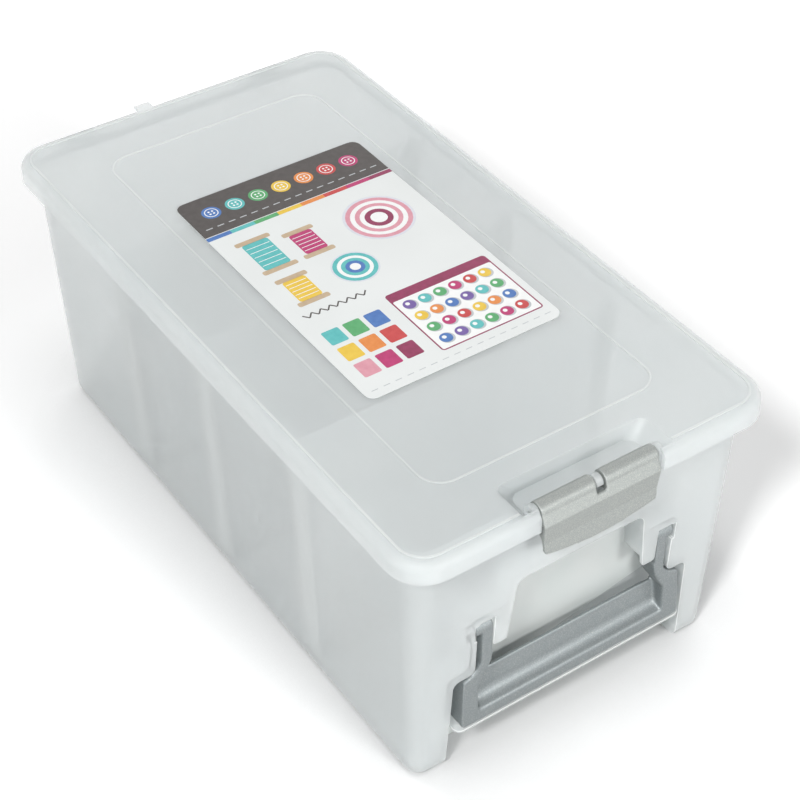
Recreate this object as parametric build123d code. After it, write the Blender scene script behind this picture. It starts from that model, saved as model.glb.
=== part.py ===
from build123d import *
import math
import os

# Craft storage case, closed. Millimetres, +Z up, -Y the front, +X the right side.
# The origin is the middle of the base's underside.

# Case and lid
case_length = 380.0
case_width = 205.0
case_height = 160.0
lid_skirt_height = 11.5
lid_wall = 2.0
lid_corner = 19.0
lid_rounding = 4.4
bead_inset = 5.2
bead_width = 1.2
bead_height = 0.6
panel_width = 130.0
panel_length = 304.0
panel_corner = 13.0
panel_line_width = 1.0
panel_line_height = 0.5
tab_width = 9.0
tab_reach = 2.5
tab_height = 1.4
tab_place = -20.5

# Printed label on the lid
label_width = 112.0
label_length = 182.5
label_corner = 5.0
label_thickness = 0.3
label_shift_x = 1.6
label_shift_y = 3.8

# Tub walls
tub_side_inset = 7.1
tub_end_inset = 9.6
tub_draft = 2.0
tub_wall = 2.0
tub_floor = 2.2
tub_base_corner = 8.0
tub_base_rounding = 6.0
seat_gap = 0.3

# Rim flange of the tub
flange_thickness = 2.0
flange_drop = 7.2
skirt_gap = 1.0
flange_back_trim = 1.5

# Hollows pressed into the front wall
finger_top = 110.0
finger_half_top = 36.5
finger_half_mid = 40.5
finger_mid = 70.0
slot_top = 93.0
slot_inner = 41.8
slot_outer = 57.5
bay_top = 59.0
bay_half_top = 69.6
bay_half_base = 71.8
finger_rounding = 5.0
hollow_depth = 14.0
hollow_rounding = 4.0
slot_rounding = 2.0

# Tongues beside the finger recess
tongue_outer = 48.0
tongue_bottom = 73.0
under_tongue_top = 79.0

# Ledge under the handle
ledge_thickness = 1.2
ledge_top = 25.5
ledge_half = 68.5
ledge_proud = 3.5
ledge_corner = 4.0
gusset_thickness = 1.4
gusset_depth = 13.0
gusset_height = 9.0
gusset_places = [-52.0, 0.0, 52.0]

# Handle
pivot_height = 87.0
pivot_depth = 5.0
hook_radius = 4.6
hook_outer = 58.2
pin_radius = 2.5
pin_reach = 3.3
bore_gap = 0.05
bearing_floor = 1.2
window_gap = 0.6
arm_inner = 48.5
arm_outer = 54.4
wing_half_base = 66.0
wing_half_top = 64.4
wing_top = 57.5
wing_bottom = 27.0
wing_rounding = 2.0
wing_depth = 11.5
handle_proud_base = 3.6
handle_proud_top = 0.9
grip_half = 55.7
grip_half_top = 47.9
grip_shoulder = 49.5
grip_side_bow = 1.5
grip_top = 49.5
grip_lip_top = 34.0
grip_lip = 1.8
grip_wall = 2.0
grip_wall_lean = 2.0
grip_curve = 7.0
wing_wall = 2.0
arm_depth = 12.9
arm_back_top = 72.0
arm_back_slope = 5.0
flare_top = 69.0
shoulder_top = 73.0
shoulder_reach = 62.6
shoulder_bow_x = 56.4
shoulder_bow_z = 61.4
shoulder_depth = 3.2

# Cradle block under each hook of the handle
cradle_inner = 55.0
cradle_setback = 4.0
cradle_top = 82.0

# Latch
latch_half = 32.8
latch_axis_setback = 6.7
latch_axis_drop = 4.6
latch_radius = 4.5
latch_face = 7.2
latch_shoulder = 2.9
latch_shoulder_rise = 3.4
latch_knee = 5.4
latch_crease_drop = 15.7
latch_dish = 0.8
latch_foot = 0.4
latch_bottom_drop = 25.6
latch_corner = 1.6
latch_notch_drop = 2.4
catch_tip = 1.2
latch_corner_drop = 22.2
latch_half_bottom = 31.5
latch_plate = 2.0
latch_pin_radius = 1.5
latch_pin_reach = 3.0
latch_notch = 5.5
latch_rod_radius = 1.7
catch_half = 31.0
catch_drop = 11.6
catch_reach = 0.8
catch_height = 7.3

# Latch recess of the lid
recess_half_top = 42.0
recess_half_floor = 34.5
recess_back = 25.0
recess_back_slope = 0.6
recess_corner_top = 4.0
recess_corner_floor = 6.0
recess_front = 4.0
recess_floor = 1.8
gate_half = 34.4
gate_depth = 3.2
ear_gap = 0.4
ear_thickness = 3.0
ear_radius = 4.0
hook_width = 3.6
lid_hook_gap = 0.08
lid_hook_wall = 2.0

# Keeper lip of the tub
keeper_half = 33.0
keeper_clearance = 0.15
keeper_front = 3.8
keeper_thickness = 2.0
keeper_gap = 0.3
keeper_cut_half = 44.5

# Lid hinge
hinge_places = [-60.0, 60.0]
hinge_axis_proud = 1.5
hinge_axis_drop = 9.0
hinge_rod_radius = 2.0
knuckle_width = 14.0
knuckle_radius = 4.2
hinge_side_gap = 0.3
hinge_ear_thickness = 2.5
hinge_ear_radius = 4.0
hinge_cut_gap = 0.7
hinge_cut_height = 6.0

# Divider channels and dividers
station_middle = 3.5
station_pitch = 85.5
rib_thickness = 1.3
rib_depth = 3.0
channel_width = 9.0
rib_top = 146.0
divider_thickness = 1.6
divider_edge_width = 8.4
divider_edge_thickness = 2.0
divider_gap = 0.3
divider_top = 150.0

# Heights and places worked out from the sizes above
half_length = case_length / 2
half_width = case_width / 2
deck_top = case_height - bead_height
deck_under = deck_top - lid_wall
lid_bottom = case_height - lid_skirt_height
wall_top = deck_under - seat_gap
flange_bottom = deck_under - flange_drop
draft_rise = math.tan(math.radians(tub_draft))
tub_half_x = half_width - tub_side_inset - lid_bottom * draft_rise
tub_half_y = half_length - tub_end_inset - lid_bottom * draft_rise
latch_y = -half_length + latch_axis_setback
latch_z = case_height - latch_axis_drop
latch_crease = latch_z - latch_crease_drop
latch_bottom = latch_z - latch_bottom_drop
latch_corner_height = latch_z - latch_corner_drop
recess_floor_top = latch_z - latch_radius - ear_gap
recess_floor_under = recess_floor_top - recess_floor
keeper_top = recess_floor_under - keeper_gap
keeper_drop = math.sqrt((catch_drop - keeper_clearance) ** 2 - keeper_front ** 2)
pivot_y = -(tub_half_y + pivot_height * draft_rise) + pivot_depth
hinge_y = half_length + hinge_axis_proud
hinge_z = case_height - hinge_axis_drop
stations = [station_middle + station_pitch * step for step in (-1, 0, 1)]


def front_wall(height):
    """Y of the tub's outer front face at a height."""
    return -(tub_half_y + height * draft_rise)


def face(*points):
    """A flat sketch from its corner points."""
    return make_face(Polyline(*points, close=True))


def across(points, left, right):
    """A prism along X between two places, from points given as (y, z)."""
    return extrude(Plane.YZ.offset(left) * face(*points), right - left, dir=(1, 0, 0))


def through(outline, front, back):
    """A prism along Y between two places, from a sketch drawn as (x, z)."""
    return extrude(Plane.XZ.offset(-back) * outline, back - front, dir=(0, -1, 0))


def block(x_range, y_range, z_range):
    """A plain box between three pairs of places."""
    size = [high - low for low, high in (x_range, y_range, z_range)]
    middle = [(high + low) / 2 for low, high in (x_range, y_range, z_range)]
    return Pos(*middle) * Box(*size)


def rod(radius, x_range, y, z):
    """A round bar along X."""
    low, high = x_range
    return Pos((low + high) / 2, y, z) * Rot(0, 90, 0) * Cylinder(radius, high - low)


def both_sides(solid):
    """A solid and its mirror image on the other side of the case."""
    return solid + mirror(solid, Plane.YZ)


def tub_form(inset, bottom, top):
    """The tub's tapered body with its walls moved in, between two heights."""
    spread = bottom * draft_rise - inset
    outline = RectangleRounded(
        2 * (tub_half_x + spread), 2 * (tub_half_y + spread), tub_base_corner + spread
    )
    body = extrude(Plane.XY.offset(bottom) * outline, top - bottom, taper=-tub_draft)
    return fillet(body.faces().sort_by(Axis.Z)[0].edges(), tub_base_rounding - inset)


def finger_half(height, grow=0.0):
    """Half the width of the finger recess at a height."""
    slope = (finger_half_mid - finger_half_top) / (finger_top - finger_mid)
    return finger_half_top + slope * (finger_top - height) + grow


def round_corners(outline, corners, radius):
    """The outline with the corners at the given (x, z) places, and their mirror images, rounded."""
    chosen = []
    for vertex in outline.vertices():
        for x, z in corners:
            if abs(abs(vertex.X) - x) < 0.01 and abs(vertex.Y - z) < 0.01:
                chosen.append(vertex)
    return fillet(chosen, radius)


def front_hollow(grow):
    """Finger recess, arm slots and handle bay in the front wall, made larger all round by `grow`."""
    low = -hollow_depth
    finger_low = finger_half(bay_top, grow)
    finger_high = finger_half(finger_top, grow)
    slot_right = slot_outer + grow
    bay_right = bay_half_top + grow
    top = bay_top + grow
    finger = face(
        (-finger_low, bay_top), (finger_low, bay_top),
        (finger_high, finger_top + grow), (-finger_high, finger_top + grow),
    )
    under_tongues = face(
        (-slot_right, bay_top), (slot_right, bay_top),
        (slot_right, under_tongue_top + grow), (-slot_right, under_tongue_top + grow),
    )
    slot = face(
        (slot_inner - grow, bay_top), (slot_right, bay_top),
        (slot_right, slot_top + grow), (slot_inner - grow, slot_top + grow),
    )
    slope = (bay_half_base - bay_half_top) / bay_top
    bay_low = bay_right + slope * (top - low)
    bay = face((-bay_low, low), (bay_low, low), (bay_right, top), (-bay_right, top))
    outline = finger + under_tongues + slot + mirror(slot, Plane.YZ) + bay
    outline = round_corners(outline, [(bay_right, top), (slot_right, top)], hollow_rounding)
    outline = round_corners(outline, [(finger_high, finger_top + grow)], finger_rounding)
    outline = round_corners(outline, [(slot_right, slot_top + grow)], slot_rounding)
    prism = through(outline, -half_length, -half_length + 3 * hollow_depth)
    depth = hollow_depth + grow
    high = finger_top + 2 * finger_rounding
    side = across(
        [
            (-half_length, low), (front_wall(low) + depth, low),
            (front_wall(high) + depth, high), (-half_length, high),
        ],
        -half_width, half_width,
    )
    return prism & side


def front_tongues(skin):
    """The thin tongues of the front wall that run down beside the finger recess."""
    outline = face(
        (finger_half(tongue_bottom), tongue_bottom), (tongue_outer, tongue_bottom),
        (tongue_outer, slot_top), (finger_half(slot_top), slot_top),
    )
    corners = [(finger_half(tongue_bottom), tongue_bottom), (tongue_outer, tongue_bottom)]
    outline = round_corners(outline, corners, slot_rounding)
    return both_sides(through(outline, -half_length, 0) & skin)


def handle_bearings(outer):
    """The bosses that carry the handle's pins, with the cradle blocks under its hooks."""
    boss_radius = hook_radius + window_gap + tub_wall
    boss_end = hook_outer + pin_reach + bearing_floor
    boss = rod(boss_radius, (slot_outer, boss_end), pivot_y, pivot_height)
    cradle = block(
        (cradle_inner, slot_outer + tub_wall),
        (front_wall(cradle_top) + cradle_setback, front_wall(bay_top) + hollow_depth + tub_wall / 2),
        (bay_top, cradle_top),
    )
    return both_sides((boss & outer) + cradle)


def bearing_cuts():
    """The windows beside the hooks and the bores for the handle's pins."""
    reach = hook_radius + window_gap
    window = block(
        (arm_inner, hook_outer + window_gap),
        (-half_length, pivot_y + reach),
        (pivot_height - reach, pivot_height + reach),
    )
    bore_end = hook_outer + pin_reach + window_gap
    bore = rod(pin_radius + bore_gap, (hook_outer, bore_end), pivot_y, pivot_height)
    return both_sides(window + bore)


def ledge():
    """The thin shelf across the bay under the handle, on three small gussets."""
    front = front_wall(ledge_top) - ledge_proud
    back = front_wall(ledge_top) + hollow_depth
    bottom = ledge_top - ledge_thickness
    outline = face(
        (-ledge_half, front), (ledge_half, front),
        (ledge_half, back + tub_wall / 2), (-ledge_half, back + tub_wall / 2),
    )
    outline = round_corners(outline, [(ledge_half, front)], ledge_corner)
    shelf = extrude(Plane.XY.offset(bottom) * outline, ledge_thickness)
    for place in gusset_places:
        shelf += across(
            [
                (back + tub_wall / 2, bottom), (back - gusset_depth, bottom),
                (back + tub_wall / 2, bottom - gusset_height),
            ],
            place - gusset_thickness / 2, place + gusset_thickness / 2,
        )
    return shelf


def divider_channels():
    """The pairs of upright ribs on both side walls that hold the dividers."""
    ring = tub_form(tub_wall / 2, tub_floor / 2, rib_top)
    ring -= tub_form(tub_wall + rib_depth, tub_floor, rib_top + rib_depth)
    ribs = Part()
    for station in stations:
        for side in (-1, 1):
            near = station + side * channel_width / 2
            far = near + side * rib_thickness
            y_range = (min(near, far), max(near, far))
            ribs += block((-half_width, half_width), y_range, (0, rib_top)) & ring
    return ribs


def rim_flange():
    """The flange round the tub under the lid's skirt, trimmed at the hinges and at the latch."""
    reach = lid_wall + skirt_gap
    plan = RectangleRounded(case_width - 2 * reach, case_length - 2 * reach, lid_corner - reach)
    flange = extrude(Plane.XY.offset(flange_bottom) * plan, flange_thickness)
    trim = half_length - reach - flange_back_trim
    ends = (flange_bottom - 1, flange_bottom + flange_thickness + 1)
    flange -= block((-half_width, half_width), (trim, half_length), ends)
    return flange


def keeper():
    """The lip on the lowered front wall that the latch's catch hooks under."""
    front = latch_y - keeper_front
    plate = block(
        (-keeper_half, keeper_half),
        (front, front_wall(keeper_top) + tub_wall),
        (keeper_top - keeper_thickness, keeper_top),
    )
    lip = block(
        (-keeper_half, keeper_half),
        (front, front + keeper_thickness),
        (latch_z - keeper_drop, keeper_top),
    )
    return plate + lip


def tub_hinge_ears():
    """Two pairs of ears on the back wall, each pair with its hinge rod."""
    ears = Part()
    inner = knuckle_width / 2 + hinge_side_gap
    outer = inner + hinge_ear_thickness
    root = tub_half_y + hinge_z * draft_rise - tub_wall
    for place in hinge_places:
        ears += rod(hinge_rod_radius, (place - inner, place + inner), hinge_y, hinge_z)
        for x_range in ((place - outer, place - inner), (place + inner, place + outer)):
            ears += rod(hinge_ear_radius, x_range, hinge_y, hinge_z)
            z_range = (hinge_z - hinge_ear_radius, hinge_z + hinge_ear_radius)
            ears += block(x_range, (root, hinge_y), z_range)
    return ears


def tub():
    """The clear body of the case."""
    outer = tub_form(0, 0, wall_top)
    skin = outer - tub_form(tub_wall, 0, wall_top)
    inside = tub_form(tub_wall, tub_floor, wall_top + tub_wall)
    body = outer + rim_flange()
    body -= inside - front_hollow(tub_wall)
    lowered = block(
        (-keeper_cut_half, keeper_cut_half),
        (-half_length, front_wall(wall_top) + 2 * tub_wall),
        (keeper_top, wall_top + tub_wall),
    )
    body -= lowered
    body -= front_hollow(0)
    body += front_tongues(skin) + handle_bearings(outer) + ledge()
    body -= bearing_cuts()
    return body + divider_channels() + keeper() + tub_hinge_ears()


def recess(grow, top):
    """The latch recess of the lid, its walls and floor moved out by `grow`."""
    bottom = recess_floor_top - min(grow, recess_floor)
    side_slope = (recess_half_top - recess_half_floor) / (deck_top - recess_floor_top)
    back_slope = recess_back_slope / (deck_top - recess_floor_top)
    plans = []
    for height, corner in ((bottom, recess_corner_floor), (top, recess_corner_top)):
        half = recess_half_top + grow - side_slope * (deck_top - height)
        back = -half_length + recess_back + grow - back_slope * (deck_top - height)
        front = -half_length - 2 * recess_corner_floor
        plan = RectangleRounded(2 * half, back - front, corner + grow)
        plans.append(Plane.XY.offset(height) * (Pos(0, (back + front) / 2) * plan))
    form = loft(plans, ruled=True)
    front = -half_length + recess_front - grow / 2
    return form & block((-half_width, half_width), (front, 0), (bottom, top))


def outline_ring(width, length, corner, line, bottom, top):
    """A raised line that follows a rounded rectangle."""
    outer = RectangleRounded(width, length, corner)
    inner = RectangleRounded(width - 2 * line, length - 2 * line, corner - line)
    return extrude(Plane.XY.offset(bottom) * (outer - inner), top - bottom)


def latch_ears():
    """The two ears and the hook that carry the latch on the lid."""
    inner = latch_half + ear_gap
    x_range = (inner, inner + ear_thickness)
    ear = rod(ear_radius, x_range, latch_y, latch_z)
    foot = (recess_floor_top - recess_floor / 2, latch_z)
    ear += block(x_range, (latch_y - ear_radius, latch_y + ear_radius), foot)
    ear -= rod(latch_pin_radius + bore_gap, x_range, latch_y, latch_z)
    half = hook_width / 2
    bore = latch_rod_radius + lid_hook_gap
    outer = bore + lid_hook_wall
    hook = rod(outer, (-half, half), latch_y, latch_z)
    hook -= block((-half, half), (latch_y - outer, latch_y + bore), (latch_z - outer, latch_z))
    hook += block((-half, half), (latch_y + bore, latch_y + outer), foot)
    hook -= rod(bore, (-half, half), latch_y, latch_z)
    return both_sides(ear) + hook


def lid_knuckles(body):
    """The lid with its back skirt cut free beside each knuckle, and the bored knuckles added."""
    half = knuckle_width / 2
    reach = half + hinge_side_gap + hinge_ear_thickness + hinge_cut_gap
    y_range = (half_length - 2 * lid_wall, half_length + lid_wall)
    z_range = (lid_bottom - lid_wall, hinge_z + hinge_cut_height)
    for place in hinge_places:
        body -= block((place - reach, place - half), y_range, z_range)
        body -= block((place + half, place + reach), y_range, z_range)
        body += rod(knuckle_radius, (place - half, place + half), hinge_y, hinge_z)
        body -= rod(hinge_rod_radius + bore_gap, (place - half, place + half), hinge_y, hinge_z)
    return body


def lid():
    """The clear lid."""
    plan = RectangleRounded(case_width, case_length, lid_corner)
    outer = extrude(Plane.XY.offset(lid_bottom) * plan, deck_top - lid_bottom)
    outer = fillet(outer.faces().sort_by(Axis.Z)[-1].edges(), lid_rounding)
    plan = RectangleRounded(
        case_width - 2 * lid_wall, case_length - 2 * lid_wall, lid_corner - lid_wall
    )
    inner = extrude(Plane.XY.offset(lid_bottom) * plan, deck_under - lid_bottom)
    body = outer - inner
    line_root = deck_top - lid_wall / 2
    body += outline_ring(
        case_width - 2 * bead_inset, case_length - 2 * bead_inset, lid_corner - bead_inset,
        bead_width, line_root, case_height,
    )
    body += outline_ring(
        panel_width, panel_length, panel_corner,
        panel_line_width, line_root, deck_top + panel_line_height,
    )
    body += recess(lid_wall, deck_top)
    body -= recess(0, case_height + lid_wall)
    gate_x = (-gate_half, gate_half)
    below = (lid_bottom - lid_wall, case_height + lid_wall)
    above = (recess_floor_top, case_height + lid_wall)
    body -= block(gate_x, (-half_length - lid_wall, -half_length + gate_depth), below)
    body -= block(gate_x, (-half_length - lid_wall, latch_y), above)
    body += latch_ears()
    body += block(
        (tab_place - tab_width / 2, tab_place + tab_width / 2),
        (half_length - lid_rounding, half_length + tab_reach),
        (deck_top - tab_height, deck_top),
    )
    return lid_knuckles(body)


def lid_label():
    """The printed sheet on the lid."""
    plan = Pos(label_shift_x, label_shift_y) * RectangleRounded(
        label_width, label_length, label_corner
    )
    return extrude(Plane.XY.offset(deck_top) * plan, label_thickness)


def latch():
    """The latch flap: a rolled top on two pins, a bent plate and the catch behind it."""
    face_y = latch_y - latch_face
    plate = across(
        [
            (latch_y - latch_shoulder, latch_z + latch_shoulder_rise),
            (face_y, latch_z - latch_knee),
            (face_y + latch_dish, latch_crease),
            (face_y - latch_foot, latch_bottom),
            (face_y - latch_foot + latch_plate, latch_bottom),
            (face_y + latch_dish + latch_plate, latch_crease),
            (face_y + latch_plate, latch_z - latch_knee),
            (latch_y - latch_radius / 2, latch_z - latch_radius / 2),
            (latch_y, latch_z),
        ],
        -latch_half, latch_half,
    )
    body = plate + rod(latch_radius, (-latch_half, latch_half), latch_y, latch_z)
    catch_top = latch_z - catch_drop
    body += across(
        [
            (face_y + latch_plate / 2, catch_top),
            (latch_y + catch_reach, catch_top),
            (latch_y + catch_reach, catch_top - catch_tip),
            (face_y + latch_dish + latch_plate / 2, catch_top - catch_height),
        ],
        -catch_half, catch_half,
    )
    top = latch_z + latch_radius
    sides = Line((latch_half_bottom, latch_corner_height), (latch_half, latch_z - latch_radius))
    sides += Line((latch_half, latch_z - latch_radius), (latch_half, top))
    sides += Line((latch_half, top), (-latch_half, top))
    sides += Line((-latch_half, top), (-latch_half, latch_z - latch_radius))
    sides += Line((-latch_half, latch_z - latch_radius), (-latch_half_bottom, latch_corner_height))
    sides += ThreePointArc(
        (-latch_half_bottom, latch_corner_height), (0, latch_bottom),
        (latch_half_bottom, latch_corner_height),
    )
    outline = make_face(sides)
    corners = [(latch_half_bottom, latch_corner_height)]
    outline = round_corners(outline, corners, latch_corner)
    body &= through(outline, -half_length - latch_radius, 0)
    notch_range = (-latch_notch / 2, latch_notch / 2)
    body -= rod(latch_radius + ear_gap, notch_range, latch_y, latch_z)
    notch_floor = latch_z - latch_notch_drop
    body -= block(notch_range, (-half_length - latch_radius, latch_y), (notch_floor, top))
    body += rod(latch_rod_radius, notch_range, latch_y, latch_z)
    pin = rod(latch_pin_radius, (latch_half, latch_half + latch_pin_reach), latch_y, latch_z)
    return body + both_sides(pin)


def handle():
    """The carry handle: a scooped grip bar, two hollow wings, two arms and their hooks with pins."""
    front_base = front_wall(wing_bottom) - handle_proud_base
    front_top = front_wall(wing_top) - handle_proud_top
    bar = across(
        [
            (front_base, wing_bottom), (front_base + wing_depth, wing_bottom),
            (front_top + wing_depth, wing_top), (front_top, wing_top),
        ],
        -wing_half_base, wing_half_base,
    )
    outline = face(
        (-wing_half_base, wing_bottom), (wing_half_base, wing_bottom),
        (wing_half_top, wing_top), (-wing_half_top, wing_top),
    )
    corners = [(wing_half_base, wing_bottom), (wing_half_top, wing_top)]
    outline = round_corners(outline, corners, wing_rounding)
    opening = through(grip_opening(), -half_length, 0)
    wings = bar & through(outline, -half_length, 0)
    pocket = block(
        (grip_half + wing_wall, wing_half_top - wing_wall),
        (front_top + wing_wall, 0),
        (wing_bottom + wing_wall, wing_top - wing_wall),
    )
    wings -= opening + both_sides(pocket)
    grip = extrude(Plane.YZ.offset(-grip_half) * grip_section(), 2 * grip_half, dir=(1, 0, 0))
    return wings + grip + both_sides(handle_arm(front_top) - opening)


def grip_section():
    """The section of the grip bar as (y, z): a front lip and a thin quarter-round scoop."""
    front_base = front_wall(wing_bottom) - handle_proud_base
    lean = (handle_proud_base - handle_proud_top - (wing_top - wing_bottom) * draft_rise)
    lean /= wing_top - wing_bottom
    front = front_base + lean * (grip_lip_top - wing_bottom)
    centre_z = grip_lip_top + grip_curve
    outer = grip_curve + grip_wall
    bend = math.sqrt(0.5)
    foot_z = centre_z - math.sqrt(outer ** 2 - grip_lip ** 2)
    lines = Line((front_base, wing_bottom), (front, grip_lip_top))
    lines += ThreePointArc(
        (front, grip_lip_top),
        (front + bend * grip_curve, centre_z - bend * grip_curve),
        (front + grip_curve, centre_z),
    )
    lines += Line((front + grip_curve, centre_z), (front + grip_curve + grip_wall_lean, grip_top))
    top_back = front + outer + grip_wall_lean
    lines += Line((front + grip_curve + grip_wall_lean, grip_top), (top_back, grip_top))
    lines += Line((top_back, grip_top), (front + outer, centre_z))
    lines += ThreePointArc(
        (front + outer, centre_z),
        (front + bend * outer, centre_z - bend * outer),
        (front + grip_lip, foot_z),
    )
    lines += Line((front + grip_lip, foot_z), (front_base + grip_lip, wing_bottom))
    lines += Line((front_base + grip_lip, wing_bottom), (front_base, wing_bottom))
    return make_face(lines)


def grip_opening():
    """The front outline of the opening between the wings and arms, as (x, z)."""
    low = wing_bottom - wing_wall
    side_x = (grip_half + grip_half_top) / 2 - grip_side_bow
    side_z = (grip_shoulder + flare_top) / 2
    right = ThreePointArc((grip_half, grip_shoulder), (side_x, side_z), (grip_half_top, flare_top))
    left = ThreePointArc(
        (-grip_half_top, flare_top), (-side_x, side_z), (-grip_half, grip_shoulder)
    )
    lines = Line((grip_half, low), (grip_half, grip_shoulder)) + right
    lines += Line((grip_half_top, flare_top), (-grip_half_top, flare_top)) + left
    lines += Line((-grip_half, grip_shoulder), (-grip_half, low))
    lines += Line((-grip_half, low), (grip_half, low))
    return make_face(lines)


def handle_shoulder():
    """The front outline of the curved shoulder between the right arm and its wing, as (x, z)."""
    lines = ThreePointArc(
        (shoulder_reach, wing_top), (shoulder_bow_x, shoulder_bow_z), (arm_outer, shoulder_top)
    )
    lines += Line((arm_outer, shoulder_top), (arm_inner, shoulder_top))
    lines += Line((arm_inner, shoulder_top), (arm_inner, wing_top - wing_wall))
    lines += Line((arm_inner, wing_top - wing_wall), (shoulder_reach, wing_top - wing_wall))
    lines += Line((shoulder_reach, wing_top - wing_wall), (shoulder_reach, wing_top))
    return make_face(lines)


def handle_arm(front_top):
    """The right arm with its flared root, hook and pin."""
    arm = face(
        (grip_half_top, grip_top), (arm_outer, grip_top), (arm_outer, pivot_height),
        (arm_inner, pivot_height), (arm_inner, flare_top + arm_inner - grip_half_top),
        (grip_half_top, flare_top),
    )
    back = front_top + arm_depth
    side = across(
        [
            (front_top, grip_top), (front_top, wing_top),
            (pivot_y - hook_radius, pivot_height), (pivot_y + hook_radius, pivot_height),
            (pivot_y + hook_radius, arm_back_top + arm_back_slope),
            (back, arm_back_top), (back, grip_top),
        ],
        0, half_width,
    )
    solid = through(arm, -half_length, 0) & side
    solid += through(handle_shoulder(), front_top, front_top + shoulder_depth)
    solid += rod(hook_radius, (arm_inner, hook_outer), pivot_y, pivot_height)
    return solid + rod(pin_radius, (hook_outer, hook_outer + pin_reach), pivot_y, pivot_height)


def divider(station):
    """One loose divider: a thin panel with wider edges that stand in the channels."""
    inset = tub_wall + divider_gap
    fit = tub_form(inset, tub_floor, divider_top)
    core = tub_form(
        inset + divider_edge_thickness, tub_floor + divider_edge_thickness,
        divider_top + divider_edge_thickness,
    )
    x_range = (-half_width, half_width)
    z_range = (tub_floor, divider_top)
    half = divider_thickness / 2
    edge_half = divider_edge_width / 2
    panel = block(x_range, (station - half, station + half), z_range) & fit
    edges = block(x_range, (station - edge_half, station + edge_half), z_range) & (fit - core)
    return panel + edges


os.makedirs("parts", exist_ok=True)
pieces = {
    "tub": tub(),
    "lid": lid(),
    "latch": latch(),
    "handle": handle(),
    "lid_label": lid_label(),
}
for name, station in zip(("front", "middle", "rear"), stations):
    pieces["divider_" + name] = divider(station)
for name, piece in pieces.items():
    export_step(piece, "parts/" + name + ".step")
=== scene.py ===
import math

import bmesh
import bpy
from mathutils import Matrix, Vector


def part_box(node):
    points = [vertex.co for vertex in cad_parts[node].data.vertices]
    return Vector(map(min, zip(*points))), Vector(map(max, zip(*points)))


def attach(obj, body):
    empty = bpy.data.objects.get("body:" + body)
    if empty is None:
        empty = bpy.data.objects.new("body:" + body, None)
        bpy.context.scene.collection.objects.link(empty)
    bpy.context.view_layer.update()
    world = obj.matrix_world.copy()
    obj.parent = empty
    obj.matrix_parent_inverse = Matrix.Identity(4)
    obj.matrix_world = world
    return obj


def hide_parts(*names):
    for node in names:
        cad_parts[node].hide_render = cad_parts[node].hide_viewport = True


# A craft storage case with a clear lid and tub, grey latch and handle, and a printed label.
# Metres, +Z up, -Y the front, +X the right side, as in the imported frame.
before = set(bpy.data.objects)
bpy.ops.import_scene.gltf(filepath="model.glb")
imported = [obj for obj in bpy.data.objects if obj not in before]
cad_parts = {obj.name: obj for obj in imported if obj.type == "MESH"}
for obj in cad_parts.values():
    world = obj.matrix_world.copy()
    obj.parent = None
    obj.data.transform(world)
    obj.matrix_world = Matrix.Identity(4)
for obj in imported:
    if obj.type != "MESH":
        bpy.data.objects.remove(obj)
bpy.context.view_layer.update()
bpy.ops.object.select_all(action="DESELECT")

MM = 0.001
scene = bpy.context.scene
scene.view_settings.view_transform = "Standard"


def linear(colour):
    """An sRGB hex colour as a linear RGBA value."""
    parts = [int(colour[place:place + 2], 16) / 255 for place in (1, 3, 5)]
    return [p / 12.92 if p <= 0.04045 else ((p + 0.055) / 1.055) ** 2.4 for p in parts] + [1.0]


def add_node(tree, kind, inputs=None, **settings):
    """Adds a node with its settings; an input is given a value or a socket to link to."""
    made = tree.nodes.new(kind)
    for name, value in settings.items():
        setattr(made, name, value)
    for name, value in (inputs or {}).items():
        if isinstance(value, bpy.types.NodeSocket):
            tree.links.new(value, made.inputs[name])
        else:
            made.inputs[name].default_value = value
    return made


def new_material(name):
    """An empty node material and its tree."""
    material = bpy.data.materials.new(name)
    material.use_nodes = True
    material.node_tree.nodes.clear()
    return material, material.node_tree


def set_ramp(ramp, stops):
    """Sets a colour ramp's stops, each a position and a hex colour."""
    while len(ramp.elements) < len(stops):
        ramp.elements.new(1.0)
    for element, (position, colour) in zip(ramp.elements, stops):
        element.position = position
        element.color = linear(colour)


# Camera, at the photograph's place and angle
lens = bpy.data.cameras.new("camera")
lens.sensor_width = 36.0
lens.lens = 84.62
lens.clip_start = 0.01
lens.clip_end = 20.0
camera = bpy.data.objects.new("camera", lens)
scene.collection.objects.link(camera)
camera.location = (-0.40651, -0.62629, 0.72488)
camera.rotation_euler = [math.radians(turn) for turn in (48.7343, 0.0278, -34.4021)]
scene.camera = camera


# Studio
def area_lamp(name, place, aim, size, watts):
    """A soft square lamp at a place, turned to a point."""
    data = bpy.data.lights.new(name, "AREA")
    data.size = size
    data.energy = watts
    lamp = bpy.data.objects.new(name, data)
    scene.collection.objects.link(lamp)
    lamp.location = place
    lamp.rotation_euler = (Vector(aim) - Vector(place)).to_track_quat("-Z", "Y").to_euler()


area_lamp("key_lamp", place=(-1.8, -1.15, 2.3), aim=(0, 0, 0.05), size=0.45, watts=61.0)
area_lamp("front_lamp", place=(0.45, -2.7, 1.3), aim=(0, 0, 0.05), size=0.7, watts=38.0)
area_lamp("top_lamp", place=(-0.45, 0.8, 2.9), aim=(0, 0, 0.05), size=0.35, watts=11.0)
area_lamp("back_lamp", place=(2.4, 1.9, 0.9), aim=(0, 0, 0.1), size=1.6, watts=15.0)


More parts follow.
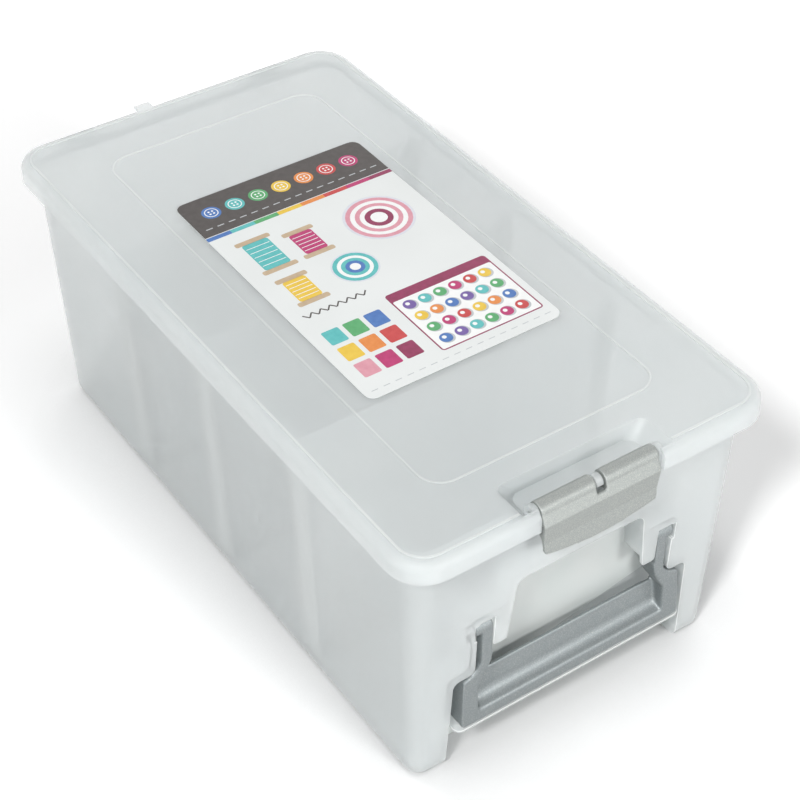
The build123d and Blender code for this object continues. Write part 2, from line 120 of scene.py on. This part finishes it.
def seen_directly(tree):
    """1 for rays that see a surface from the camera, in a mirror or through glass, else 0."""
    path = add_node(tree, "ShaderNodeLightPath")
    seen = add_node(
        tree, "ShaderNodeMath",
        {0: path.outputs["Is Camera Ray"], 1: path.outputs["Is Glossy Ray"]}, operation="MAXIMUM",
    )
    return add_node(
        tree, "ShaderNodeMath",
        {0: seen.outputs[0], 1: path.outputs["Is Transmission Ray"]}, operation="MAXIMUM",
    ).outputs[0]


# The room: white where it is seen, and 0.24 of that as light
world = bpy.data.worlds.new("studio")
scene.world = world
world.use_nodes = True
tree = world.node_tree
tree.nodes.clear()
level = add_node(tree, "ShaderNodeMapRange", {
    "Value": seen_directly(tree), "To Min": 0.24, "To Max": 1.0,
})
sky = add_node(tree, "ShaderNodeBackground", {
    "Color": linear("#FFFFFF"), "Strength": level.outputs[0],
})
add_node(tree, "ShaderNodeOutputWorld", {"Surface": sky.outputs[0]})

# White backdrop paper: matt; for the eye it is whiter than for the light that it sends back, and
# whiter still far from the case, where the lamps fade. Near the case it keeps the shadow, and
# within 75 mm of the case it is darker with painted shade, where a thing that stands on it shuts
# out the room's light. This is an aid for the look and not a model of real paper.
backdrop_paper, tree = new_material("white_backdrop_paper")
place = add_node(tree, "ShaderNodeTexCoord")
distance = add_node(
    tree, "ShaderNodeVectorMath", {"Vector": place.outputs["Object"]}, operation="LENGTH"
)
brighter = add_node(tree, "ShaderNodeMapRange", {
    "Value": distance.outputs["Value"],
    "From Min": 0.3, "From Max": 3.5, "To Min": 1.37, "To Max": 5.0,
})
# Painted contact shade: the paper's colour darkens where the case shuts out the room's light
hemmed_in = add_node(tree, "ShaderNodeAmbientOcclusion", {"Distance": 75 * MM}, samples=12)
painted_contact_shade = add_node(tree, "ShaderNodeMapRange", {
    "Value": hemmed_in.outputs["AO"],
    "From Min": 0.3, "From Max": 1.0, "To Min": 0.55, "To Max": 1.0,
})
seen_gain_with_painted_shade = add_node(
    tree, "ShaderNodeMath", {0: brighter.outputs[0], 1: painted_contact_shade.outputs[0]},
    operation="MULTIPLY",
)
gain = add_node(tree, "ShaderNodeMapRange", {
    "Value": seen_directly(tree), "To Min": 1.0, "To Max": seen_gain_with_painted_shade.outputs[0],
})
shade = add_node(
    tree, "ShaderNodeVectorMath",
    {"Vector": linear("#E8E8E8")[:3], "Scale": gain.outputs[0]}, operation="SCALE",
)
coat = add_node(tree, "ShaderNodeBsdfDiffuse", {"Color": shade.outputs["Vector"]})
add_node(tree, "ShaderNodeOutputMaterial", {"Surface": coat.outputs[0]})
bpy.ops.mesh.primitive_plane_add(size=12.0, location=(0, 0, -0.2 * MM))
floor = bpy.context.object
floor.name = "floor"
floor.data.materials.append(backdrop_paper)
bpy.ops.object.select_all(action="DESELECT")

# A pixel of the picture covers about 0.55 mm at the middle of the case and 0.44 mm at its front.
# Real sizes of grain, flakes and mottle below are typical ones, not measured on this object.

# Natural polypropylene, injection moulded: milky and half see-through. The flow clouds are about
# 70 mm across. The real mould grain of about 0.1 mm is under a pixel, so it is drawn at 1.1 mm,
# two pixels.
clear_pp, tree = new_material("natural_polypropylene_moulded")
place = add_node(tree, "ShaderNodeTexCoord")
cloud = add_node(tree, "ShaderNodeTexNoise", {
    "Vector": place.outputs["Object"], "Scale": 1 / (70 * MM), "Detail": 2.0,
})
tint = add_node(tree, "ShaderNodeValToRGB", {"Fac": cloud.outputs["Fac"]})
set_ramp(tint.color_ramp, [(0.25, "#E9EFF0"), (0.75, "#EEF3F3")])
grain = add_node(tree, "ShaderNodeTexNoise", {
    "Vector": place.outputs["Object"], "Scale": 1 / (1.1 * MM), "Detail": 2.0,
})
skin = add_node(tree, "ShaderNodeBump", {
    "Height": grain.outputs["Fac"], "Strength": 0.06, "Distance": 0.1 * MM,
})
shell = add_node(tree, "ShaderNodeBsdfPrincipled", {
    "Base Color": tint.outputs["Color"], "Roughness": 0.38, "IOR": 1.49,
    "Subsurface Weight": 0.6, "Subsurface Radius": (1.0, 1.0, 1.0), "Subsurface Scale": 8.0 * MM,
    "Alpha": 0.45, "Normal": skin.outputs["Normal"],
})
add_node(tree, "ShaderNodeOutputMaterial", {"Surface": shell.outputs[0]})


def whiter_polypropylene(name, dark, light, alpha):
    """A whiter or more solid copy of the plastic, with 25 mm clouds, for painted light and shade.
    """
    material, tree = new_material(name)
    place = add_node(tree, "ShaderNodeTexCoord")
    cloud = add_node(tree, "ShaderNodeTexNoise", {
        "Vector": place.outputs["Object"], "Scale": 1 / (25 * MM), "Detail": 2.0,
    })
    tint = add_node(tree, "ShaderNodeValToRGB", {"Fac": cloud.outputs["Fac"]})
    set_ramp(tint.color_ramp, [(0.3, dark), (0.7, light)])
    shell = add_node(tree, "ShaderNodeBsdfPrincipled", {
        "Base Color": tint.outputs["Color"], "Roughness": 0.4, "IOR": 1.49, "Alpha": alpha,
    })
    add_node(tree, "ShaderNodeOutputMaterial", {"Surface": shell.outputs[0]})
    return material


# Edges and the ribs behind the walls gather light: painted highlights, drawn as thin white lines
clear_pp_edge_highlight = whiter_polypropylene(
    "natural_polypropylene_edge_highlight", "#EFF2F1", "#F4F6F5", alpha=0.7
)
# The lid's raised lines are low and broad, and a shade whiter than the deck: a painted highlight
clear_pp_line_highlight = whiter_polypropylene(
    "natural_polypropylene_raised_line_highlight", "#E6EAE9", "#ECEFEE", alpha=0.55
)
# The finger recess gets a more solid, a little darker copy of the plastic: painted light and shade
# an even grey in place of the dark tub seen through the wall
clear_pp_recess_shade = whiter_polypropylene(
    "natural_polypropylene_recess_painted_shade", "#D3D9D7", "#D8DCDA", alpha=0.87
)


# Grey polypropylene with silver pigment, injection moulded: a satin grey with a fine glitter of
# flakes. The real grain of about 0.1 mm is under a pixel, so it is drawn at 0.8 mm, nearly two.
# The real flakes of about 0.05 mm are drawn at 0.24 mm, still half a pixel: several run together
# there and leave a faint speckle.
def silver_grey(name, dark, middle, light, metal):
    """A silver pigmented grey from three hex colours, and how far it mirrors like metal."""
    material, tree = new_material(name)
    place = add_node(tree, "ShaderNodeTexCoord")
    flakes = add_node(tree, "ShaderNodeTexVoronoi", {
        "Vector": place.outputs["Object"], "Scale": 1 / (0.24 * MM),
    })
    fleck = add_node(tree, "ShaderNodeSeparateColor", {"Color": flakes.outputs["Color"]})
    tint = add_node(tree, "ShaderNodeValToRGB", {"Fac": fleck.outputs["Red"]})
    set_ramp(tint.color_ramp, [(0.0, dark), (0.8, middle), (1.0, light)])
    grain = add_node(tree, "ShaderNodeTexNoise", {
        "Vector": place.outputs["Object"], "Scale": 1 / (0.8 * MM), "Detail": 2.0,
    })
    skin = add_node(tree, "ShaderNodeBump", {
        "Height": grain.outputs["Fac"], "Strength": 0.15, "Distance": 0.1 * MM,
    })
    shell = add_node(tree, "ShaderNodeBsdfPrincipled", {
        "Base Color": tint.outputs["Color"], "Metallic": metal, "Roughness": 0.48,
        "Normal": skin.outputs["Normal"],
    })
    add_node(tree, "ShaderNodeOutputMaterial", {"Surface": shell.outputs[0]})
    return material


# The handle is the darker, more metallic one; the latch is a warmer and lighter moulding. The
# latch's extra lightness is painted light, for the light that its front face catches
handle_pp = silver_grey(
    "silver_grey_polypropylene_handle", "#7F8587", "#8A9091", "#A2A5A3", metal=0.65
)
latch_pp_painted_light = silver_grey(
    "silver_grey_polypropylene_latch_painted_light", "#909492", "#9B9F9C", "#AFB1AD", metal=0.5
)

# Coated label paper: smooth white with a slight sheen and the faint 33 mm ripple of a stuck sheet
label_paper, tree = new_material("coated_label_paper")
place = add_node(tree, "ShaderNodeTexCoord")
ripple = add_node(tree, "ShaderNodeTexNoise", {
    "Vector": place.outputs["Object"], "Scale": 1 / (33 * MM), "Detail": 1.0,
})
tint = add_node(tree, "ShaderNodeValToRGB", {"Fac": ripple.outputs["Fac"]})
set_ramp(tint.color_ramp, [(0.3, "#E2E5E4"), (0.7, "#E6E9E8")])
skin = add_node(tree, "ShaderNodeBump", {
    "Height": ripple.outputs["Fac"], "Strength": 0.2, "Distance": 1.0 * MM,
})
shell = add_node(tree, "ShaderNodeBsdfPrincipled", {
    "Base Color": tint.outputs["Color"], "Roughness": 0.4, "Normal": skin.outputs["Normal"],
})
add_node(tree, "ShaderNodeOutputMaterial", {"Surface": shell.outputs[0]})


def wear(name, material):
    """Gives a CAD node this material all over."""
    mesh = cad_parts[name].data
    mesh.materials.clear()
    mesh.materials.append(material)


for name in ("tub", "lid", "divider_front", "divider_middle", "divider_rear"):
    wear(name, clear_pp)
wear("latch", latch_pp_painted_light)
wear("handle", handle_pp)
wear("lid_label", label_paper)


# Offset printing inks: a flat colour with the slight mottle of ink on paper. The real mottle of
# about 0.2 mm is under a pixel, so it is drawn at 3 mm, about six pixels.
def ink(name, dark, light):
    """A printing ink whose shade wavers between two hex colours."""
    material, tree = new_material("printing_ink_" + name)
    place = add_node(tree, "ShaderNodeTexCoord")
    mottle = add_node(tree, "ShaderNodeTexNoise", {
        "Vector": place.outputs["Object"], "Scale": 1 / (3 * MM), "Detail": 2.0,
    })
    tint = add_node(tree, "ShaderNodeValToRGB", {"Fac": mottle.outputs["Fac"]})
    set_ramp(tint.color_ramp, [(0.3, dark), (0.7, light)])
    shell = add_node(
        tree, "ShaderNodeBsdfPrincipled", {"Base Color": tint.outputs["Color"], "Roughness": 0.38}
    )
    add_node(tree, "ShaderNodeOutputMaterial", {"Surface": shell.outputs[0]})
    return material


ink_shades = {
    "charcoal": ("#45403E", "#4E4947"),
    "plum": ("#842A4E", "#93305A"),
    "magenta": ("#B02F68", "#BC3873"),
    "rose": ("#D592A0", "#DC9DAA"),
    "red": ("#BE3F40", "#C84A4A"),
    "orange": ("#DC8440", "#E38F4C"),
    "yellow": ("#E2BC40", "#E9C64C"),
    "green": ("#52A066", "#5CAA70"),
    "teal": ("#55B3B3", "#62BDBC"),
    "blue": ("#456FB0", "#4F7AB9"),
    "violet": ("#6C5599", "#765FA2"),
    "tan": ("#BCA588", "#C5AF93"),
    "silver": ("#B9BDC0", "#C2C6C8"),
    "lilac": ("#D6D8E0", "#DCDEE6"),
    "white": ("#F0F1F0", "#F5F6F5"),
}
inks = {name: ink(name, *shades) for name, shades in ink_shades.items()}

# The label's own millimetres: across from its left edge and up from its front edge
label_low, label_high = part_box("lid_label")
label_width = (label_high.x - label_low.x) / MM
ink_layer = 0.015 * MM
printed = []


def printed_shape(shape, colour, layer):
    """Takes up a flat shape in its ink, on a layer above the paper."""
    shape.location.z = label_high.z + layer * ink_layer
    bpy.ops.object.transform_apply(location=True, rotation=True, scale=True)
    shape.data.materials.append(inks[colour])
    printed.append(shape)
    shape.select_set(False)


def printed_disc(colour, across, up, radius, layer=1):
    """A round spot of ink."""
    bpy.ops.mesh.primitive_circle_add(
        vertices=12 if radius < 1.5 else 32, radius=radius * MM, fill_type="NGON",
        location=(label_low.x + across * MM, label_low.y + up * MM, 0),
    )
    printed_shape(bpy.context.object, colour, layer)


def printed_bar(colour, across, up, width, height, corner=0.0, turn=0.0, layer=1):
    """A bar of ink about its centre, with rounded corners where given."""
    bpy.ops.mesh.primitive_plane_add(
        size=1.0, location=(label_low.x + across * MM, label_low.y + up * MM, 0),
        rotation=(0, 0, math.radians(turn)),
    )
    bar = bpy.context.object
    bar.scale = (width * MM, height * MM, 1)
    if corner:
        bpy.ops.object.transform_apply(location=False, rotation=False, scale=True)
        bpy.ops.object.mode_set(mode="EDIT")
        bpy.ops.mesh.select_all(action="SELECT")
        bpy.ops.mesh.bevel(offset=corner * MM, segments=5, affect="VERTICES")
        bpy.ops.object.mode_set(mode="OBJECT")
    printed_shape(bar, colour, layer)


def spool(colour, across, up, width, height):
    """A reel of thread from the side: two flanges, the wound thread and its windings."""
    windings = 5
    printed_bar(colour, across, up, width, height, corner=1.5)
    for step in range(1, windings + 1):
        line = up - height / 2 + step * height / (windings + 1)
        printed_bar("white", across, line, width - 1.5, 0.45, layer=2)
    for side in (-1, 1):
        flange = up + side * (height / 2 + 1.6)
        printed_bar("tan", across, flange, width + 5, 3.4, corner=1.2)


def button(colour, across, up, radius):
    """A round button with a white groove in its rim and four white holes."""
    groove_outside, groove_inside, hole_place, hole_size = 0.72, 0.62, 0.2, 0.12
    printed_disc(colour, across, up, radius, layer=3)
    printed_disc("white", across, up, radius * groove_outside, layer=4)
    printed_disc(colour, across, up, radius * groove_inside, layer=5)
    hole = radius * hole_place
    for side_x in (-1, 1):
        for side_y in (-1, 1):
            printed_disc(
                "white", across + side_x * hole, up + side_y * hole, radius * hole_size, layer=6
            )


def dashed_seam(up, length, width, layer=1):
    """A row of sixteen silver dashes across the label."""
    for index in range(16):
        printed_bar("silver", 6.0 + 6.67 * index, up, length, width, layer=layer)


# Charcoal head band with a row of buttons and a dashed seam
printed_bar("charcoal", label_width / 2, 160.0, label_width, 20.0)
printed_bar("charcoal", label_width / 2, 173.0, label_width, 19.0, corner=5.0, layer=2)
rainbow = ["blue", "teal", "green", "yellow", "orange", "red", "magenta"]
for index, colour in enumerate(rainbow):
    button(colour, across=14.0 + 14.0 * index, up=168.0, radius=5.2)
dashed_seam(up=156.0, length=3.8, width=0.7, layer=3)

# Ribbon of colours under the band
ribbon = rainbow + ["plum"]
for index, colour in enumerate(ribbon):
    middle = label_width * (index + 0.5) / len(ribbon)
    printed_bar(colour, middle, 148.0, label_width / len(ribbon), 3.0)

# Three reels of thread and two rolls of ribbon
spool("teal", 19.0, 122.0, 15.0, 24.0)
spool("magenta", 42.0, 119.0, 13.0, 18.0)
spool("yellow", 19.0, 88.0, 13.0, 18.0)
large_roll = [
    (19.0, "lilac"), (17.5, "rose"), (15.0, "white"), (12.5, "rose"),
    (10.0, "white"), (7.5, "plum"), (4.5, "white"),
]
small_roll = [
    (12.5, "lilac"), (11.5, "teal"), (9.2, "white"), (7.2, "teal"), (5.0, "blue"), (2.8, "white"),
]
for across, up, roll in ((83.0, 116.0, large_roll), (50.0, 88.0, small_roll)):
    for layer, (radius, colour) in enumerate(roll):
        printed_disc(colour, across, up, radius, layer + 1)

# Zigzag stitches
for index in range(14):
    slant = 50.0 if index % 2 else -50.0
    printed_bar("charcoal", 8.5 + 2.6 * index, 68.0, 4.0, 0.8, turn=slant)

# Framed card of beads, each with its shadow and glint, and swatches beside it
printed_bar("plum", 78.0, 35.0, 60.0, 50.0, corner=2.0)
printed_bar("white", 78.0, 32.2, 58.4, 42.8, corner=1.0, layer=2)
beads = ["blue", "violet", "teal", "green", "magenta", "red", "yellow", "orange"]
for line in range(4):
    for index in range(6):
        colour = beads[(index + 3 * line) % len(beads)]
        printed_disc("silver", 55.5 + 9.0 * index, 17.0 + 10.2 * line, 3.9, layer=3)
        printed_disc(colour, 55.0 + 9.0 * index, 17.4 + 10.2 * line, 3.4, layer=4)
        printed_disc("white", 54.4 + 9.0 * index, 18.2 + 10.2 * line, 1.2, layer=5)
swatches = ["rose", "magenta", "plum", "yellow", "orange", "red", "teal", "green", "blue"]
for index, colour in enumerate(swatches):
    line, column = divmod(index, 3)
    printed_bar(colour, 12.0 + 12.0 * column, 20.0 + 14.0 * line, 9.5, 11.0, corner=1.0)
dashed_seam(up=5.0, length=3.6, width=0.5)

for shape in printed:
    shape.select_set(True)
bpy.context.view_layer.objects.active = printed[0]
bpy.ops.object.join()
label_print = bpy.context.object
label_print.name = "label_print"
bpy.ops.object.select_all(action="DESELECT")
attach(label_print, "lid")


SAME_PLACE = 0.01 * MM
FLAT_ANGLE = math.radians(1.0)
SHARP_ANGLE = math.radians(30)
SMOOTH_ANGLE = math.radians(32)

# Places in a piece's list of materials
PLAIN, WHITER, RECESS_SHADE = 0, 1, 2


def merged_copy(node, name, material):
    """A copy of a CAD node's mesh, merged into one skin, in this material, shown in its place."""
    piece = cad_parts[node].copy()
    piece.data = piece.data.copy()
    piece.name = name
    piece.parent = None
    for key in list(piece.keys()):
        del piece[key]
    scene.collection.objects.link(piece)
    bpy.context.view_layer.objects.active = piece
    piece.select_set(True)
    bpy.ops.object.mode_set(mode="EDIT")
    bpy.ops.mesh.select_all(action="SELECT")
    bpy.ops.mesh.remove_doubles(threshold=SAME_PLACE)
    bpy.ops.mesh.customdata_custom_splitnormals_clear()
    bpy.ops.mesh.dissolve_limited(angle_limit=FLAT_ANGLE)
    bpy.ops.object.mode_set(mode="OBJECT")
    piece.data.materials.clear()
    piece.data.materials.append(material)
    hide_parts(node)
    return piece


def round_edges(piece, edges, width, **settings):
    """Rounds these edges of the active piece, each by its index."""
    bpy.ops.object.mode_set(mode="EDIT")
    bpy.ops.mesh.select_mode(type="EDGE")
    bpy.ops.mesh.select_all(action="DESELECT")
    bpy.ops.object.mode_set(mode="OBJECT")
    for index in edges:
        piece.data.edges[index].select = True
    bpy.ops.object.mode_set(mode="EDIT")
    bpy.ops.mesh.bevel(offset=width * MM, affect="EDGES", clamp_overlap=False, **settings)
    bpy.ops.object.mode_set(mode="OBJECT")


def too_fine(point):
    """Whether a rounding has no room: at a hinge ear's root or a rib's thin end on the floor."""
    across, height = abs(point.x) / MM, point.z / MM
    at_hinge_ear = point.y > 177 * MM and height > 145 and 48 < across < 72
    at_rib_foot = height < 3.5 and 84 < across < 86
    return at_hinge_ear or at_rib_foot


# Tub and dividers: the edges have the small rounding of a moulding, in the whiter copy of the
# plastic: a painted highlight that shows as a thin white line. The few edges left out as too fine
# are shaded smooth too, though they are sharp: this bends the shading of the large faces that meet
# them, and is a known fault.
for node, name, width in (
    ("tub", "clear_tub", 0.3),
    ("divider_front", "front_divider", 0.4),
    ("divider_middle", "middle_divider", 0.4),
    ("divider_rear", "rear_divider", 0.4),
):
    piece = merged_copy(node, name, clear_pp)
    piece.data.materials.append(clear_pp_edge_highlight)
    bpy.ops.object.shade_smooth()
    skin = bmesh.new()
    skin.from_mesh(piece.data)
    sharp = [
        edge.index for edge in skin.edges
        if edge.calc_face_angle(0.0) > SHARP_ANGLE
        and not any(too_fine(corner.co) for corner in edge.verts)
    ]
    skin.free()
    round_edges(piece, sharp, width, segments=3, harden_normals=True, material=WHITER)
    piece.select_set(False)
    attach(piece, "tub")

# The back of the finger recess is more solid and a little darker, as painted light and shade, and
# the ribs and divider edges at the walls are whiter, as a painted highlight. A material goes by
# whole faces, and the recess's back is two faces that meet on a slant: the lower one, seen when
# the handle is raised, keeps the plain material. This is a known fault.
clear_tub = bpy.data.objects["clear_tub"]
clear_tub.data.materials.append(clear_pp_recess_shade)
for face in clear_tub.data.polygons:
    facing, centre = face.normal, face.center
    if facing.y < -0.7 and -0.168 < centre.y < -0.158 and centre.z > 0.04:
        face.material_index = RECESS_SHADE
    if abs(facing.y) > 0.9 and abs(centre.y) < 0.15 and abs(centre.x) > 0.08:
        face.material_index = WHITER
for name in ("front_divider", "middle_divider", "rear_divider"):
    for face in bpy.data.objects[name].data.polygons:
        if abs(face.normal.x) > 0.9:
            face.material_index = WHITER

# Lid: its two raised lines are rounded and whiter, a painted highlight; the rest keeps the edges
# of the moulding
clear_lid = merged_copy("lid", "clear_lid", clear_pp)
clear_lid.data.materials.append(clear_pp_line_highlight)
line_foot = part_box("lid_label")[0].z + 0.05 * MM
corners = clear_lid.data.vertices
raised = [
    edge.index for edge in clear_lid.data.edges
    if all(corners[index].co.z > line_foot for index in edge.vertices)
]
round_edges(clear_lid, raised, 0.25, segments=2)
for face in clear_lid.data.polygons:
    face.material_index = WHITER if face.center.z > line_foot else PLAIN
bpy.ops.object.shade_smooth_by_angle(angle=SMOOTH_ANGLE)
clear_lid.select_set(False)
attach(clear_lid, "lid")


# Grey pieces: thick mouldings with soft blends, so the whole skin is evened out and smoothed
def evened_copy(node, name, material, grid, passes):
    """A merged copy in an even skin, smoothed so that its edges are round."""
    piece = merged_copy(node, name, material)
    skin = piece.modifiers.new("skin", "REMESH")
    skin.mode = "VOXEL"
    skin.voxel_size = grid * MM
    bpy.ops.object.modifier_apply(modifier="skin")
    evening = piece.modifiers.new("evening", "SMOOTH")
    evening.iterations = passes
    bpy.ops.object.modifier_apply(modifier="evening")
    return piece


def thinned(piece, body):
    """Takes the spare faces out of an evened piece and attaches it to its body."""
    thinning = piece.modifiers.new("thinning", "DECIMATE")
    thinning.ratio = 0.35
    bpy.ops.object.modifier_apply(modifier="thinning")
    bpy.ops.object.shade_smooth()
    piece.select_set(False)
    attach(piece, body)


thinned(evened_copy("latch", "latch_flap", latch_pp_painted_light, grid=0.4, passes=6), "latch")

# The handle's lip and the ends of its scoop have wider blends than its other edges
carry_handle = evened_copy("handle", "carry_handle", handle_pp, grid=0.45, passes=10)
blend = carry_handle.vertex_groups.new(name="blend")
for point in carry_handle.data.vertices:
    across, height = abs(point.co.x) / MM, point.co.z / MM
    on_lip = across < 58 and 30 < height < 45
    at_scoop_end = 50 < across < 60 and 30 < height < 62
    if on_lip or at_scoop_end:
        blend.add([point.index], 1.0, "REPLACE")
blending = carry_handle.modifiers.new("blending", "SMOOTH")
blending.vertex_group = "blend"
blending.iterations = 60
bpy.ops.object.modifier_apply(modifier="blending")
thinned(carry_handle, "handle")
